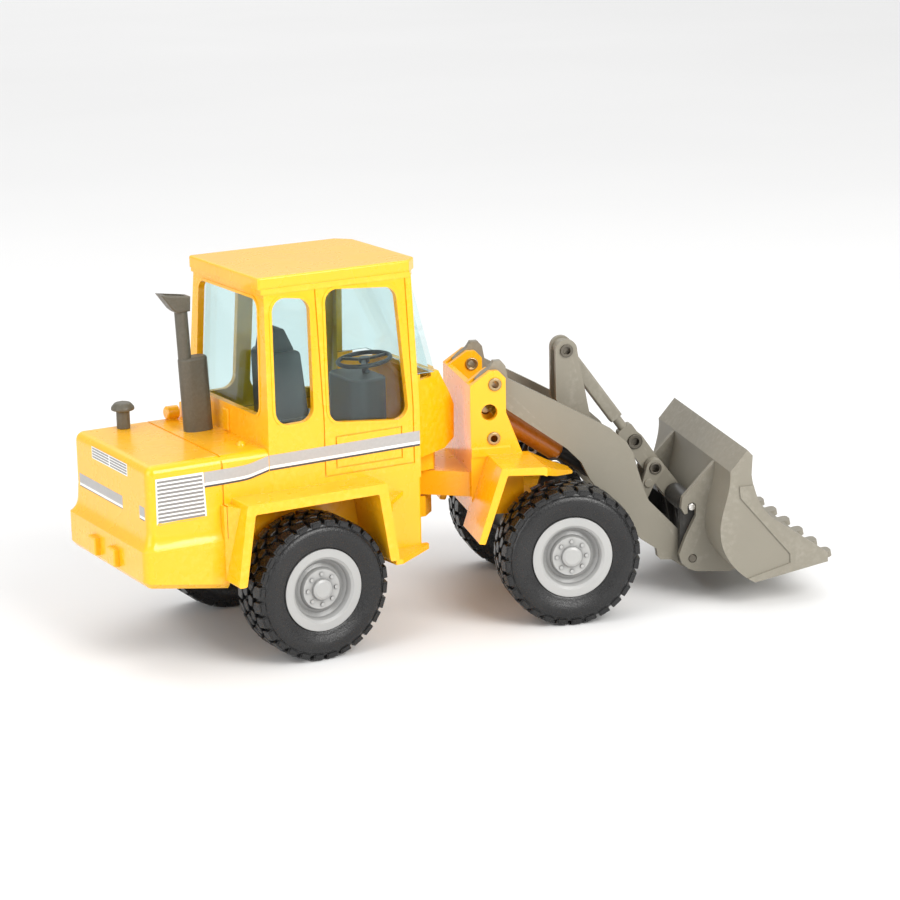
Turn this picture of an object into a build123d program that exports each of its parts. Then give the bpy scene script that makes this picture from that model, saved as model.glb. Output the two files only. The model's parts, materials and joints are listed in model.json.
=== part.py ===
from build123d import *
import os

# Die-cast toy front loader with articulated steering, about 1:35.
# Working frame, millimetres: X forward, Y left, Z up, with the origin on the ground
# under the steering pin.  The front frame is drawn pointing straight ahead and is
# then turned by STEER_ANGLE.  At the end everything is moved so that the origin is
# at the centre of the bottom of the whole loader's box.

# ---------------------------------------------------------------- driving dimensions
STEER_ANGLE = -17.0                 # front frame turned to the right
RUN = 0.04                          # radial clearance of a shaft that turns in a hole

AXLE_Z = 14.2
TYRE_R = 14.2
TYRE_IN, TYRE_OUT = 15.2, 25.6      # distance of the tyre's two faces from the middle
BEAD_R = 7.85
RIM_LIP_R = 8.27
RIM_FACE = 25.0
AXLE_R = 1.0
REAR_AXLE_X = -29.47
FRONT_AXLE_X = 30.91
STUD_COUNT = 8

HOOD_REAR, HOOD_FRONT, HOOD_TOP = -62.2, -36.8, 41.8
BODY_HALF = 18.0                    # half width of hood and cab
RIDGE_Z = 25.6                      # top of the counterweight
BUMPER_X, BUMPER_HALF = -63.8, 19.1
HATCH_X = -46.8
WELL_HALF = 13.2                    # inner wall of the wheel wells
POCKET_HALF = 11.6
DECK_BOTTOM, DECK_TOP = 31.4, 33.4
FENDER_HALF = 25.0
REAR_WALL_X = -3.6                  # front wall of the rear frame
FLOOR_Z = 17.5                      # bottom edge of the rear casting

STEER_PIN_R = 1.4
TONGUE_Z = (24.4, 29.5)
UPPER_LUG_Z = (29.8, 34.0)
LOWER_LUG_Z = (19.7, 24.0)
LUG_X = 6.4

BASE_PLATE_Z = (18.4, 19.6)
ROCK_PIN_Z, ROCK_PIN_R = 16.9, 0.7
REAR_POST_X, FRONT_POST_X = -54.0, -11.0
SCREW_R = 0.8

CAB_X = (-36.8, REAR_WALL_X)
CAB_WALL = 1.2
CAB_KNEE_Z, CAB_ROOF_Z = 46.0, 72.0
CAB_ROOF_HALF = 15.7
GLASS_T = 0.8
GROOVE = 0.3

TOWER_X = (13.5, 14.8)              # rear wall of the lift tower
TOWER_Z = (20.8, 47.6)
INNER_CHEEK = (7.8, 9.0)
OUTER_CHEEK = (10.8, 12.2)
ARM_Y = (9.1, 10.7)
ARM_PIVOT = (18.6, 47.7)
CYLINDER_PIVOT = (17.4, 42.0)
LOWER_RIVET = (18.2, 36.6)
FRONT_FENDER_HALF = 24.5
FRONT_SCREW_X = (25.0, 34.2)

ROD_PIVOT = (42.7, 24.5)            # lift cylinder rod on the arm
CYLINDER_Y = 5.6
LIFT_BARREL_R, LIFT_BARREL_LENGTH = 2.1, 19.4
LIFT_ROD_R = 1.1

BARREL_PIVOT = (36.1, 51.4)         # tilt cylinder on the upstand
ROD_RIVET = (51.0, 30.8)
LINK_PIVOT = (54.8, 25.3)           # tilt rod, levers and link meet here
LEVER_PIVOT = (51.3, 18.2)
LEVER_BOSS = (53.3, 22.2)
HOOK_PIN = (59.2, 19.5)
HITCH_PIVOT = (59.4, 8.5)
TILT_BARREL_LENGTH = 18.9
TILT_ROD_R = 1.0
LINK_HALF_WIDTH = 1.95

HITCH_CHEEK = (11.2, 12.6)
EAR_Y = (12.9, 14.1)
BUCKET_HALF = 24.2
BUCKET_WALL = 1.2
TOOTH_PITCH = 8.2


# ---------------------------------------------------------------- small helpers
def block(x, y, z):
    """Box between three (low, high) ranges."""
    ranges = (x, y, z)
    centre = [(low + high) / 2 for low, high in ranges]
    size = [high - low for low, high in ranges]
    return Pos(*centre) * Box(*size)


def pin_x(y, z, radius, x):
    """Round bar along X between two X values."""
    return Pos((x[0] + x[1]) / 2, y, z) * Rot(0, 90, 0) * Cylinder(radius, x[1] - x[0])


def pin_y(point, radius, y):
    """Round bar along Y through an (x, z) point, between two Y values."""
    return Pos(point[0], (y[0] + y[1]) / 2, point[1]) * Rot(90, 0, 0) * Cylinder(radius, y[1] - y[0])


def pin_z(x, y, radius, z):
    """Round bar along Z between two Z values."""
    return Pos(x, y, (z[0] + z[1]) / 2) * Cylinder(radius, z[1] - z[0])


def outline(points, corner=0):
    """Flat face with straight sides, its corners rounded by one radius."""
    face = make_face(Polyline(*points, close=True))
    return fillet(face.vertices(), corner) if corner else face


def across(face, y):
    """Stretch a side view drawn in (x, z) from one Y value to another."""
    return extrude(Plane.XZ.offset(-y[0]) * face, amount=y[1] - y[0], dir=(0, 1, 0))


def side_plate(points, y, corner=0):
    return across(outline(points, corner), y)


def end_plate(points, x, corner=0):
    """Stretch a rear view drawn in (y, z) along X."""
    return extrude(Plane.YZ.offset(x[0]) * outline(points, corner), amount=x[1] - x[0], dir=(1, 0, 0))


def plan_plate(points, z, corner=0):
    """Stretch a plan drawn in (x, y) along Z."""
    return extrude(Pos(0, 0, z[0]) * outline(points, corner), amount=z[1] - z[0], dir=(0, 0, 1))


def link_face(a, radius_a, b, radius_b):
    """Side view of a link: two round ends joined by straight flanks."""
    ends = [Pos(*a) * Circle(radius_a), Pos(*b) * Circle(radius_b)]
    return make_face(make_hull(ends[0].edges() + ends[1].edges()))


def left_and_right(solid):
    """The solid and its mirror image, fused only where they meet."""
    return solid + mirror(solid, Plane.XZ)


def hollow_rivet(point, radius, hole, y, flange_radius, flange):
    """Tube rivet through a plate stack, with a flange on its outer end."""
    body = pin_y(point, radius, y) + pin_y(point, flange_radius, (y[1], y[1] + flange))
    body = chamfer(body.edges().group_by(Axis.Y)[-1], flange / 3)
    return body - pin_y(point, hole, (y[0] - 1, y[1] + flange + 1))


def along(start, end):
    """Plane at an (x, z) start whose normal points at an (x, z) end."""
    return Plane((start[0], 0, start[1]), x_dir=(0, 1, 0), z_dir=(end[0] - start[0], 0, end[1] - start[1]))


def rod(start, end, radius, low, high):
    """Round bar on the line from start to end, between two distances from start."""
    base = along(start, end).offset(low)
    return base * Cylinder(radius, high - low, align=(Align.CENTER, Align.CENTER, Align.MIN))


# ---------------------------------------------------------------- rear frame
def counterweight():
    """Concave flare from the hood out to the ridge, and the deep slab under it."""
    front = -44.0
    sections = []
    for z, grow in ((31.4, 0.0), (28.4, 0.14), (26.5, 0.5), (RIDGE_Z, 1.0)):
        rear = HOOD_REAR + (BUMPER_X - HOOD_REAR) * grow
        half = BODY_HALF + (BUMPER_HALF - BODY_HALF) * grow
        section = RectangleRounded(front - rear, 2 * half, 1.8)
        sections.append(Pos((front + rear) / 2, 0, z) * section)
    flare = loft(sections)
    slab = side_plate([(BUMPER_X, 18.6), (BUMPER_X, RIDGE_Z), (front, RIDGE_Z), (front, 15.4)],
                      (-BUMPER_HALF, BUMPER_HALF))
    slab = fillet(slab.edges().filter_by(Axis.Z).group_by(Axis.X)[0], 1.8)
    bottom = slab.faces().filter_by(Plane.XY, reverse=True).sort_by(Axis.Z)[0]
    slab = chamfer(bottom.edges(), 1.0)
    behind_wheels = block((-70, -46.6), (-30, 30), (0, 45))
    return (flare + slab) & behind_wheels


def hood():
    body = block((HOOD_REAR, HOOD_FRONT), (-BODY_HALF, BODY_HALF), (30.0, HOOD_TOP))
    rear_corners = body.edges().filter_by(Axis.Z).group_by(Axis.X)[0]
    top_edges = body.faces().sort_by(Axis.Z)[-1].edges()
    body = fillet(rear_corners + (top_edges - top_edges.group_by(Axis.X)[-1]), 1.8)
    return body


def rear_fenders():
    arch = side_plate([(-47.5, 17.5), (-45.0, DECK_TOP), (-15.0, DECK_TOP), (-12.6, 17.5),
                       (-14.6, 17.5), (-16.8, DECK_BOTTOM), (-43.4, DECK_BOTTOM), (-45.7, 17.5)],
                      (12.2, FENDER_HALF), 0.45)
    root = plan_plate([(-47.4, 17.0), (-47.4, 19.4), (-45.0, 22.5), (-44.6, 17.0)], (18.2, 32.4))
    return left_and_right(arch + root)


def steps():
    upper = plan_plate([(-14.4, 17.0), (-14.4, 24.5), (-8.0, 18.2), (-6.0, 17.0)], (28.3, 29.2), 0.4)
    bracket = plan_plate([(-14.4, 17.5), (-14.4, 21.4), (-9.5, 17.5)], (25.5, 28.4))
    lower = plan_plate([(-14.2, 17.0), (-13.4, FENDER_HALF), (-11.9, FENDER_HALF), (-2.4, 18.5),
                        (-2.2, 17.4), (-4.0, 17.0)], (16.6, 17.6), 0.3)
    return left_and_right(upper + bracket + lower)


def steering_lugs():
    upper = plan_plate([(-4.6, -8.5), (4.6, -8.5), (LUG_X, -6.0), (LUG_X, 6.0), (4.6, 8.5), (-4.6, 8.5)],
                       UPPER_LUG_Z, 0.5)
    lower = plan_plate([(-4.6, -7.0), (3.4, -7.0), (LUG_X, -4.2), (LUG_X, 4.2), (3.4, 7.0), (-4.6, 7.0)],
                       LOWER_LUG_Z, 0.5)
    return upper + lower


def tow_lugs():
    lug = block((-65.0, -61.9), (2.9, 6.5), (20.1, 23.5))
    return left_and_right(fillet(lug.edges().group_by(Axis.X)[0], 0.35))


def hood_fittings():
    """Latch dome, filler cap and the small boss against the cab."""
    latch = Pos(-39.5, -11.5, 41.6) * Sphere(1.0)
    cap = pin_x(15.6, 43.2, 1.35, (-43.2, -40.6))
    cap = chamfer(cap.edges().group_by(Axis.X)[0], 0.3)
    foot = block((-42.8, -41.0), (14.7, 16.5), (41.5, 43.2))
    boss = block((-39.2, -37.0), (16.0, 17.6), (41.0, 44.6))
    return cap + foot + latch + boss


def rear_underside():
    """Everything that is hollow when the casting is seen from below."""
    deep = block((-61.6, -38.4), (-16.2, 16.2), (DECK_TOP, 39.9))
    behind = block((-61.6, -48.6), (-16.2, 16.2), (10, 36))
    middle = block((-49.0, -5.2), (-POCKET_HALF, POCKET_HALF), (10, DECK_BOTTOM))
    link_up = block((-49.0, -38.4), (-POCKET_HALF, POCKET_HALF), (30, 36))
    beside_steps = block((-11.0, -5.2), (-16.4, 16.4), (10, DECK_BOTTOM))
    return deep + behind + middle + link_up + beside_steps


def screw_posts():
    rear = pin_z(REAR_POST_X, 0, 2.2, (BASE_PLATE_Z[1], 40.4))
    front = pin_z(FRONT_POST_X, 0, 2.0, (BASE_PLATE_Z[1], 32.0))
    return rear + front


def screw_holes(low, high, radius):
    return pin_z(REAR_POST_X, 0, radius, (low, high)) + pin_z(FRONT_POST_X, 0, radius, (low, high))


def rear_body():
    wells = block((-47.0, -12.8), (-WELL_HALF, WELL_HALF), (FLOOR_Z, DECK_TOP))
    deck = block((-45.2, REAR_WALL_X), (-BODY_HALF, BODY_HALF), (DECK_BOTTOM, DECK_TOP))
    panels = block((-13.4, REAR_WALL_X), (-BODY_HALF, BODY_HALF), (FLOOR_Z, DECK_TOP))
    panels = fillet(panels.edges().filter_by(Axis.Z).group_by(Axis.X)[-1], 0.6)
    body = counterweight() + hood() + wells + deck + panels
    body = body - rear_underside()
    body = body + rear_fenders() + steps() + steering_lugs() + tow_lugs() + hood_fittings() + screw_posts()
    pocket = block((-5.6, REAR_WALL_X), (-8.5, 8.5), (LOWER_LUG_Z[1], UPPER_LUG_Z[0]))
    body = body - pocket - pin_z(0, 0, STEER_PIN_R + 0.02, (15, 36))
    body = body - screw_holes(BASE_PLATE_Z[1] - 1, 29.0, SCREW_R)
    hatch = block((HATCH_X - 0.2, HATCH_X + 0.2), (-20, 20), (26.2, 45))
    inside = block((-50, -40), (-BODY_HALF + GROOVE, BODY_HALF - GROOVE), (20, HOOD_TOP - GROOVE))
    return body - (hatch - inside)


def rear_base_plate():
    plate = block((-60.0, -6.2), (-11.4, 11.4), BASE_PLATE_Z)
    plate = fillet(plate.edges().filter_by(Axis.Z), 1.2)
    lugs = Sketch() + [Pos(x, 0) * Rectangle(1.3, 4.0) for x in (REAR_AXLE_X - 3.1, REAR_AXLE_X + 3.1)]
    lugs = extrude(Pos(0, 0, ROCK_PIN_Z - 1.3) * lugs, amount=BASE_PLATE_Z[0] - ROCK_PIN_Z + 1.4)
    plate = plate + lugs - pin_x(0, ROCK_PIN_Z, ROCK_PIN_R + 0.02, (-40, -20))
    return plate - screw_holes(10, 30, SCREW_R + 0.1)


def screw(x, head_z, shank_top):
    """Pan head screw pointing up, with a cross recess in its head."""
    head = pin_z(x, 0, 1.6, (head_z, head_z + 0.9))
    head = fillet(head.edges().group_by(Axis.Z)[0], 0.4)
    cross = block((x - 0.9, x + 0.9), (-0.15, 0.15), (head_z - 1, head_z + 0.4))
    cross = cross + block((x - 0.15, x + 0.15), (-0.9, 0.9), (head_z - 1, head_z + 0.4))
    return head + pin_z(x, 0, SCREW_R - 0.02, (head_z + 0.9, shank_top)) - cross


def rear_screws():
    head_z = BASE_PLATE_Z[0] - 0.9
    return screw(REAR_POST_X, head_z, 28.0) + screw(FRONT_POST_X, head_z, 28.0)


def articulation_pin():
    shank = pin_z(0, 0, STEER_PIN_R, (LOWER_LUG_Z[0] - 0.5, UPPER_LUG_Z[1]))
    head = pin_z(0, 0, 2.1, (UPPER_LUG_Z[1], UPPER_LUG_Z[1] + 0.7))
    return shank + fillet(head.edges().group_by(Axis.Z)[-1], 0.3)


def axle_rock_pin():
    return pin_x(0, ROCK_PIN_Z, ROCK_PIN_R, (REAR_AXLE_X - 4.2, REAR_AXLE_X + 4.2))


# ---------------------------------------------------------------- cab
def cab_profile(inset):
    """Cab body as a solid, every face moved in by inset."""
    half = BODY_HALF - inset
    roof_half = CAB_ROOF_HALF - inset
    section = [(-half, DECK_TOP), (-half, CAB_KNEE_Z), (-roof_half, CAB_ROOF_Z),
               (roof_half, CAB_ROOF_Z), (half, CAB_KNEE_Z), (half, DECK_TOP)]
    body = end_plate(section, (CAB_X[0], CAB_X[1] - inset))
    rear_lean = side_plate([(CAB_X[0] + inset, DECK_TOP), (CAB_X[0] + inset, 44.0),
                            (CAB_X[0] + 1.2 + inset, CAB_ROOF_Z), (0, CAB_ROOF_Z), (0, DECK_TOP)], (-20, 20))
    return body & rear_lean


def nose_profile(inset):
    side = [(-5.0, 34.3), (6.4 - inset, 34.3), (9.5 - inset, 35.8), (9.7 - inset, 42.6),
            (8.6 - inset, 44.8 - inset / 2), (4.8 - inset, 50.7 - inset), (2.2, 51.2 - inset),
            (-5.0, 51.2 - inset)]
    plan = [(-5.0, -15.5 + inset), (-3.6, -15.5 + inset), (9.7, -8.4 + inset),
            (9.7, 8.4 - inset), (-3.6, 15.5 - inset), (-5.0, 15.5 - inset)]
    return side_plate(side, (-20, 20)) & plan_plate(plan, (30, 60))


def windscreen_bay(inset):
    """Raked front glass with its two side panes."""
    side = [(-6.0, 50.0), (2.3 - inset, 50.0), (2.2 - inset, 51.2), (-2.6 - inset, 70.6), (-6.0, 70.6)]
    section = [(-14.2 + inset, 50.0), (-13.4 + inset, 70.6), (13.4 - inset, 70.6), (14.2 - inset, 50.0)]
    return side_plate(side, (-20, 20)) & end_plate(section, (-10, 10))


def side_window_faces(grow=0.0):
    """Rear side window and door window, as side views."""
    rear = outline([(-34.1, 70.7), (-26.1, 69.6), (-26.9, 46.2), (-35.1, 46.0)], 2.7)
    door = outline([(-22.7, 71.0), (-7.3, 69.8), (-6.1, 43.5), (-23.6, 45.3)], 2.6)
    return [offset(face, grow) if grow else face for face in (rear, door)]


def rear_window_face(grow=0.0):
    face = outline([(-14.3, 47.5), (-13.0, 70.0), (13.0, 70.0), (14.3, 47.5)], 2.2)
    return offset(face, grow) if grow else face


def window_prisms(grow=0.0):
    prisms = [across(face, (-25, 25)) for face in side_window_faces(grow)]
    rear = extrude(Plane.YZ.offset(-40) * rear_window_face(grow), amount=6, dir=(1, 0, 0))
    return prisms[0] + prisms[1] + rear


def roof():
    slab = plan_plate([(-36.65, -15.6), (-36.65, 15.6), (-3.9, 15.6), (-1.2, 12.6),
                       (-1.2, -12.6), (-3.9, -15.6)], (72.3, 74.6), 0.5)
    slab = fillet(slab.faces().sort_by(Axis.Z)[-1].edges(), 0.45)
    drip = plan_plate([(-36.2, -15.9), (-36.2, 15.9), (-3.9, 15.9), (-1.8, 12.8),
                       (-1.8, -12.8), (-3.9, -15.9)], (71.3, 72.4), 0.3)
    return slab + drip


def door_seams():
    """Thin grooves round the door and the pressed fields below the windows."""
    rear_seam = block((-24.9, -24.6), (-20, 20), (34.6, 71.2))
    front_seam = block((-5.2, -4.9), (-20, 20), (34.6, 71.2))
    sill_seam = block((-24.9, -4.9), (-20, 20), (34.5, 34.8))
    panel = block((-22.4, -7.6), (-20, 20), (35.9, 42.4)) - block((-22.1, -7.9), (-20, 20), (36.2, 42.1))
    return rear_seam + front_seam + sill_seam + panel


def cab_shell():
    outer = cab_profile(0)
    skin = outer - cab_profile(GROOVE)
    frames = (cab_profile(-0.15) - outer) & (window_prisms(0.55) - window_prisms())
    frames = frames & block((-50, -4), (-30, 30), (40, 71.3))
    shell = outer + nose_profile(0) + frames - (skin & door_seams())
    shell = shell - cab_profile(CAB_WALL) - nose_profile(CAB_WALL)
    shell = shell - block((CAB_X[0] + CAB_WALL, -4.8), (-16.8, 16.8), (30, 36))
    shell = shell - block((-6.0, -3.2), (-13.5, 13.5), (30, 50.1))
    shell = shell - window_prisms() - windscreen_bay(-0.05)
    return shell + roof() + rear_wall_rib()


def rear_wall_rib():
    rib = block((-37.3, -36.6), (-1.1, 1.3), (42.1, 46.4))
    return fillet(rib.edges().group_by(Axis.X)[0], 0.25)


def cab_windows():
    gap = CAB_WALL + 0.05
    lining = cab_profile(gap) - cab_profile(gap + GLASS_T)
    lining = lining & block((-40, -4.9), (-20, 20), (42.0, 71.2))
    lining = lining - block((-9.0, 0), (-13.9, 13.9), (30, 80))
    bay = windscreen_bay(0) - windscreen_bay(GLASS_T)
    bay = bay & block((-4.95, 5), (-20, 20), (51.3, 70.3))
    roof_pane = block((-35.0, -4.9), (-13.6, 13.6), (70.35, 71.2)) & cab_profile(gap)
    return lining + roof_pane + (bay & block((-4.95, 5), (-20, 20), (51.3, 71)))


def cab_floor():
    tray = block((-35.4, -5.0), (-16.6, 16.6), (DECK_TOP, 34.4))
    plinth = block((-28.5, -17.5), (-5.4, 5.4), (34.4, 40.5))
    return tray + fillet(plinth.edges().filter_by(Axis.Z), 0.8)


def driver_seat():
    cushion = block((-28.2, -17.6), (-4.9, 4.9), (40.5, 43.6))
    cushion = fillet(cushion.edges().filter_by(Axis.X, reverse=True), 0.8)
    back = side_plate([(-28.6, 42.6), (-28.9, 57.0), (-22.8, 57.2), (-21.2, 43.2)], (-4.6, 4.6), 1.2)
    head = side_plate([(-28.7, 56.4), (-27.4, 61.6), (-25.6, 61.6), (-23.2, 56.6)], (-3.4, 3.4), 0.7)
    return cushion + back + head


def dash_console():
    console = plan_plate([(-11.9, -6.6), (-3.7, -6.6), (-3.7, 6.6), (-11.9, 6.6)], (34.4, 49.6), 3.0)
    console = fillet(console.faces().sort_by(Axis.Z)[-1].edges(), 0.5)
    return console - steering_stem(0.72)


def steering_stem(radius):
    bar = Cylinder(radius, 4.2, align=(Align.CENTER, Align.CENTER, Align.MIN))
    return Pos(-5.7, 0, 48.2) * Rot(0, -6, 0) * bar


def steering_wheel():
    stem = steering_stem(0.7)
    ring = Torus(5.3, 0.45)
    spokes = [Rot(0, 0, turn) * Pos(2.6, 0, 0) * Box(5.2, 0.8, 0.5) for turn in (0, 120, 240)]
    wheel = ring + spokes + Cylinder(1.1, 1.0)
    return stem + Pos(-6.1, 0, 52.3) * Rot(0, -6, 0) * wheel


# ---------------------------------------------------------------- hood fittings
def exhaust_stack():
    lean = Pos(-41.2, 4.4, HOOD_TOP) * Rot(0, -2.5, 0)
    muffler = extrude(SlotOverall(6.0, 3.6), amount=14.9)
    muffler = fillet(muffler.edges().group_by(Axis.Z)[-1], 0.6)
    pipe = Pos(-1.6, 0, 14.5) * Cylinder(1.3, 12.3, align=(Align.CENTER, Align.CENTER, Align.MIN))
    flare_face = outline([(-3.0, 24.2), (-3.9, 25.0), (-6.1, 28.3), (0.1, 27.1), (-0.2, 24.2)])
    flare = across(flare_face, (-1.7, 1.7))
    flare = fillet(flare.edges().filter_by(Axis.Y, reverse=True), 0.4)
    mouth = across(outline([(-5.6, 28.8), (-4.0, 26.6), (-1.4, 26.1), (-0.5, 27.6)]), (-1.25, 1.25))
    stack = muffler + pipe + flare - mouth
    return (lean * stack) - block((-50, -30), (0, 10), (40, HOOD_TOP))


def air_precleaner():
    half = Polyline((0, HOOD_TOP), (1.35, HOOD_TOP), (1.35, 45.4), (2.35, 45.6), (2.3, 46.2),
                    (1.6, 47.0), (0, 47.4), close=True)
    return Pos(-53.0, 14.0, 0) * revolve(Plane.XZ * make_face(half), Axis.Z)


# ---------------------------------------------------------------- wheels
def turned(points):
    """Body of revolution about Y from (radius, y) points."""
    return revolve(make_face(Polyline(*points, close=True)), Axis.Y)


def tyre():
    inner, outer = TYRE_IN, TYRE_OUT
    return turned([(BEAD_R, inner + 1.0), (9.4, inner + 0.2), (11.4, inner), (13.2, inner + 0.5),
                   (TYRE_R, inner + 1.4), (TYRE_R, outer - 1.4), (13.2, outer - 0.5), (11.4, outer),
                   (9.4, outer - 0.15), (8.35, outer - 0.5), (8.35, outer - 1.4), (BEAD_R, outer - 1.45)])


def rim():
    face = RIM_FACE
    body = turned([(AXLE_R, TYRE_IN + 0.6), (2.3, TYRE_IN + 0.6), (2.3, 20.8), (7.0, 21.4), (7.2, 17.2),
                   (7.8, 17.2), (7.8, face - 0.8), (RIM_LIP_R, face - 0.7), (8.2, face - 0.05),
                   (7.9, face), (6.6, face), (6.1, face - 0.4), (5.7, face - 1.6), (5.0, face - 2.1),
                   (4.3, face - 1.8), (3.9, face - 1.0), (2.2, face - 1.0), (2.0, face - 0.45),
                   (1.5, face - 0.2), (0, face - 0.2), (0, 23.6), (AXLE_R, 23.6)])
    studs = [Rot(0, 360 / STUD_COUNT * turn, 0) * pin_y((3.05, 0), 0.36, (face - 1.3, face - 0.72))
             for turn in range(STUD_COUNT)]
    return body + studs


def axle_shaft(x):
    return pin_y((x, AXLE_Z), AXLE_R, (-23.5, 23.5))


def wheel(part, x, side):
    placed = Pos(x, 0, AXLE_Z) * part
    return placed if side == "left" else mirror(placed, Plane.XZ)


def rear_axle_housing():
    beam = block((REAR_AXLE_X - 2.1, REAR_AXLE_X + 2.1), (-14.6, 14.6), (12.5, 15.9))
    beam = chamfer(beam.edges().filter_by(Axis.Y), 0.7)
    boss = block((REAR_AXLE_X - 2.1, REAR_AXLE_X + 2.1), (-1.3, 1.3), (15.0, ROCK_PIN_Z))
    boss = boss + pin_x(0, ROCK_PIN_Z, 1.3, (REAR_AXLE_X - 2.1, REAR_AXLE_X + 2.1))
    bulge = pin_x(0, AXLE_Z, 3.2, (REAR_AXLE_X - 1.9, REAR_AXLE_X + 1.9))
    bulge = bulge & block((-40, -20), (-5, 5), (9, 15.9))
    housing = beam + boss + bulge - pin_x(0, ROCK_PIN_Z, ROCK_PIN_R + RUN, (-40, -20))
    return housing - pin_y((REAR_AXLE_X, AXLE_Z), AXLE_R + RUN, (-20, 20))


# ---------------------------------------------------------------- front frame
CHEEK_OUTLINE = [(TOWER_X[0], TOWER_Z[0]), (TOWER_X[0], TOWER_Z[1]), (17.6, 50.4), (19.4, 50.4),
                 (20.85, 48.8), (20.85, 41.7), (24.3, 32.7), (24.3, TOWER_Z[0])]


def tongue():
    plan = [(0, -4.6), (5.0, -6.0), (TOWER_X[1], -11.0), (TOWER_X[1], 11.0), (5.0, 6.0), (0, 4.6)]
    return plan_plate(plan, TONGUE_Z) + pin_z(0, 0, 4.6, TONGUE_Z)


def tower():
    wall = block(TOWER_X, (-OUTER_CHEEK[1], OUTER_CHEEK[1]), TOWER_Z)
    outer = side_plate(CHEEK_OUTLINE, OUTER_CHEEK, 0.5)
    inner = side_plate(CHEEK_OUTLINE, INNER_CHEEK, 0.5)
    ridge = block((TOWER_X[0], 21.6), (OUTER_CHEEK[1] - 0.1, OUTER_CHEEK[1] + 0.4), (33.0, 35.0))
    ridge = chamfer(ridge.edges().filter_by(Axis.X).group_by(Axis.Z)[-1].sort_by(Axis.Y)[-1], 0.3)
    holes = pin_y(CYLINDER_PIVOT, 1.65, OUTER_CHEEK) + pin_y(CYLINDER_PIVOT, 1.12, INNER_CHEEK)
    for point in (ARM_PIVOT, LOWER_RIVET):
        holes = holes + pin_y(point, 1.02, (INNER_CHEEK[0] - 1, OUTER_CHEEK[1] + 1))
    return wall + left_and_right(outer + inner + ridge - holes)


def front_fenders():
    fender = side_plate([(11.8, 18.4), (16.8, 33.4), (25.6, 33.1), (29.6, 31.0), (33.9, 29.3),
                         (33.9, 28.65), (29.0, 29.9), (25.2, 31.5), (18.0, 31.9), (13.2, 18.2)],
                        (OUTER_CHEEK[0], FRONT_FENDER_HALF), 0.3)
    corner = plan_plate([(26.0, 25.0), (26.0, FRONT_FENDER_HALF - 0.8), (34.6, 13.6), (38.0, 25.0)], (20, 40))
    return left_and_right(fender - corner)


def front_frame():
    base = block((TOWER_X[0], 22.0), (-9.0, 9.0), (TOWER_Z[0], 23.4))
    base = base + block((21.0, 36.0), (-7.6, 7.6), (TOWER_Z[0], 23.4))
    frame = tongue() + tower() + front_fenders() + base
    frame = frame - pin_z(0, 0, STEER_PIN_R + RUN + 0.02, (20, 35))
    for x in FRONT_SCREW_X:
        frame = frame - pin_z(x, 0, SCREW_R, (20, 23.0))
    return frame


def front_axle_bracket():
    body = block((23.4, 36.0), (-8.9, 8.9), (16.4, TOWER_Z[0])) + block((27.6, 34.2), (-8.9, 8.9), (11.6, 17.0))
    body = chamfer(body.edges().filter_by(Axis.Y), 0.4)
    ear = side_plate([(26.4, 20.0), (29.6, 29.2), (33.4, 29.2), (35.9, 20.0)], (7.85, 8.9))
    ear = ear + pin_y((31.5, 28.6), 2.0, (7.85, 8.9))
    body = body + left_and_right(ear - pin_y((31.5, 28.6), 1.22, (7, 10)))
    body = body - block((23.0, 36.5), (-7.65, 7.65), (TOWER_Z[0], 40))
    for x in FRONT_SCREW_X:
        body = body - pin_z(x, 0, SCREW_R + 0.1, (10, 24))
        body = body - pin_z(x, 0, 1.75, (10, 18.6))
    return body - pin_y((FRONT_AXLE_X, AXLE_Z), AXLE_R + RUN, (-12, 12))


def front_screws():
    return Part() + [screw(x, 17.7, 22.8) for x in FRONT_SCREW_X]


def bracket_eyelets():
    return left_and_right(hollow_rivet((31.5, 28.6), 1.2, 0.95, (7.85, 8.9), 1.7, 0.35))


def arm_pivot_rivets():
    return left_and_right(hollow_rivet(ARM_PIVOT, 1.0, 0.72, (INNER_CHEEK[0] - 0.2, OUTER_CHEEK[1]), 1.35, 0.45))


def tower_rivets():
    return left_and_right(hollow_rivet(LOWER_RIVET, 1.0, 0.72, (INNER_CHEEK[0] - 0.2, OUTER_CHEEK[1]), 1.35, 0.45))


def lift_cylinder_pin():
    pin = pin_y(CYLINDER_PIVOT, 1.1, (-8.95, 8.95))
    return chamfer(pin.edges().filter_by(GeomType.CIRCLE), 0.25)


# ---------------------------------------------------------------- lift arm
def arm_side():
    top = [(15.3, 46.9), (15.1, 48.6), (16.5, 49.9), (17.9, 50.8), (18.8, 52.1), (20.3, 52.1), (21.2, 51.0),
           (21.7, 48.3), (31.6, 42.9), (38.7, 38.9), (43.3, 36.2), (46.5, 33.2), (47.8, 30.9), (48.8, 27.2),
           (50.1, 22.9), (51.1, 20.6), (58.6, 12.7)]
    tip = [(61.5, 10.9), (62.3, 8.7), (61.4, 6.4), (59.6, 5.5), (57.9, 6.2)]
    bottom = [(55.9, 7.6), (53.6, 7.8), (53.0, 8.4), (52.7, 10.2), (49.4, 12.5), (44.6, 18.0), (38.6, 26.1),
              (36.8, 29.8), (33.8, 32.9), (30.4, 35.4), (21.6, 41.8), (19.8, 44.6), (17.2, 44.8)]
    plate = side_plate(top + tip + bottom, ARM_Y)
    plate = plate - pin_y(ROD_PIVOT, 0.72, (ARM_Y[0] - 1, ARM_Y[0] + 0.8))
    return plate - pin_y(ARM_PIVOT, 1.0 + RUN, (5, 15)) - pin_y(HITCH_PIVOT, 0.9 + RUN, (5, 15))


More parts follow.
